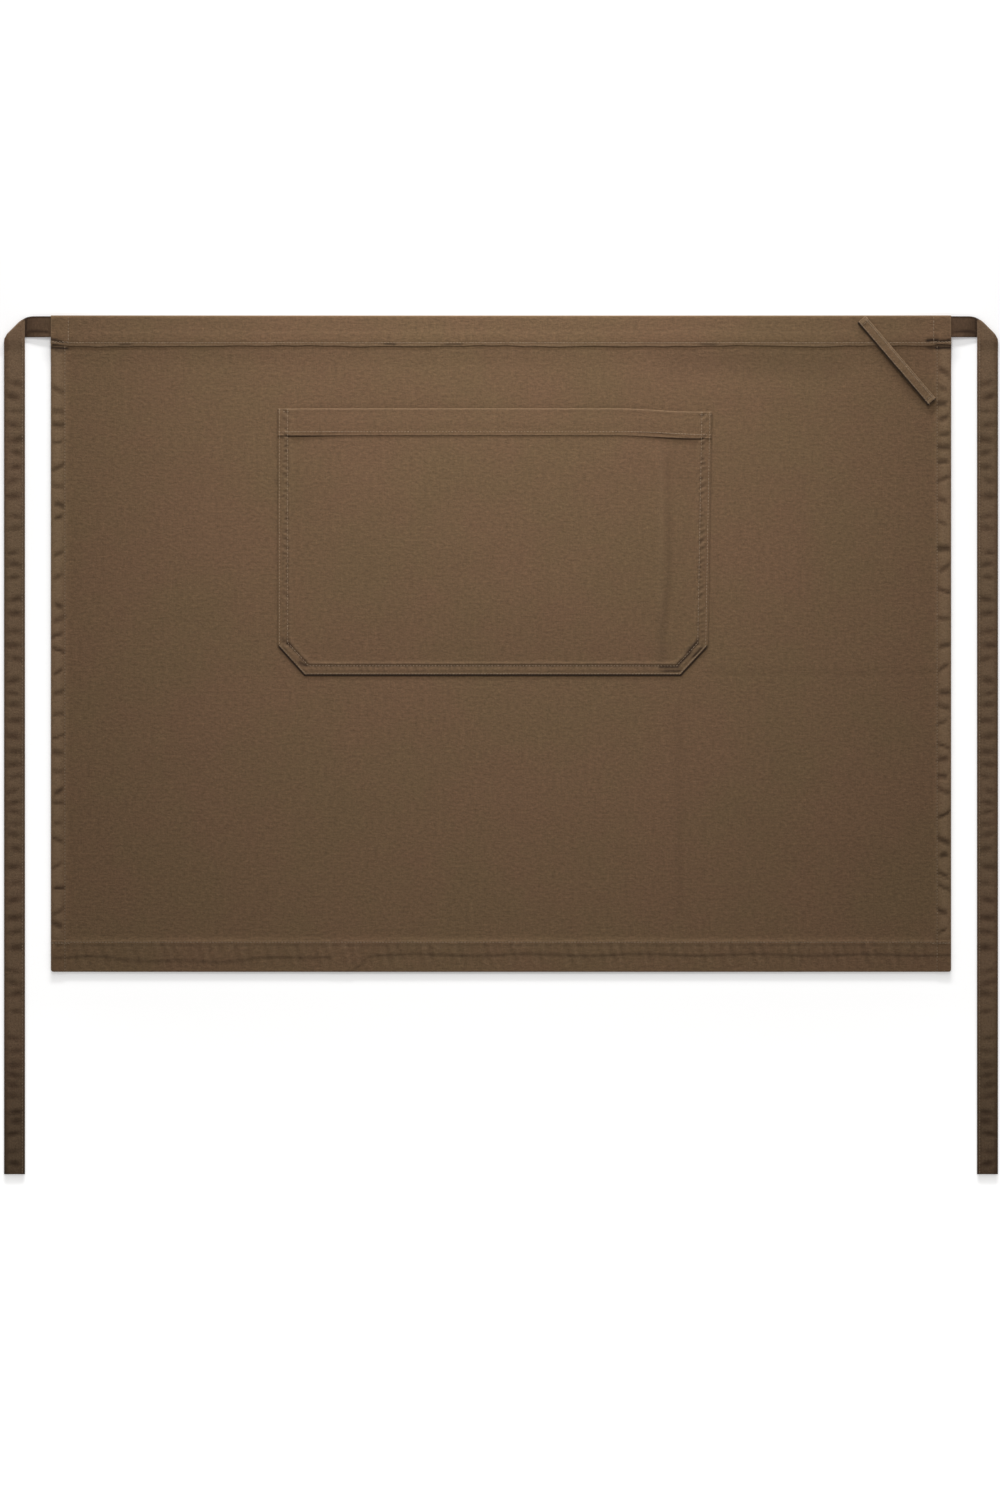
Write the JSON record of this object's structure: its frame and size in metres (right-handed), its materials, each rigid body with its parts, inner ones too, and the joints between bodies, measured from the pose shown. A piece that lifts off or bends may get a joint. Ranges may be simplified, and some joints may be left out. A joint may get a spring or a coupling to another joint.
{
  "type": "waist apron",
  "caption": "Canvas waist apron laid flat on its back: hemmed panel, folded waistband, patch pocket with cut corners, slanted towel loop and two flat side ties folded down.",
  "frame": {"origin": "under the middle of the whole apron with its ties, on the surface that it lies on", "axes": "+X across the apron towards the towel loop, +Y up the apron towards its waistband, +Z out of its face"},
  "size_m": [0.9502, 0.82, 0.009],
  "materials": {
    "canvas": "matt walnut-brown cotton canvas, softly washed",
    "tie_canvas": "matt dark brown cotton canvas, folded and pressed",
    "thread": "matt brown sewing thread"
  },
  "bodies": {
    "root": {"front_panel": "canvas", "waistband": "canvas", "pocket": "canvas", "towel_loop": "canvas", "tie_left": "tie_canvas", "tie_right": "tie_canvas"}
  },
  "joints": []
}
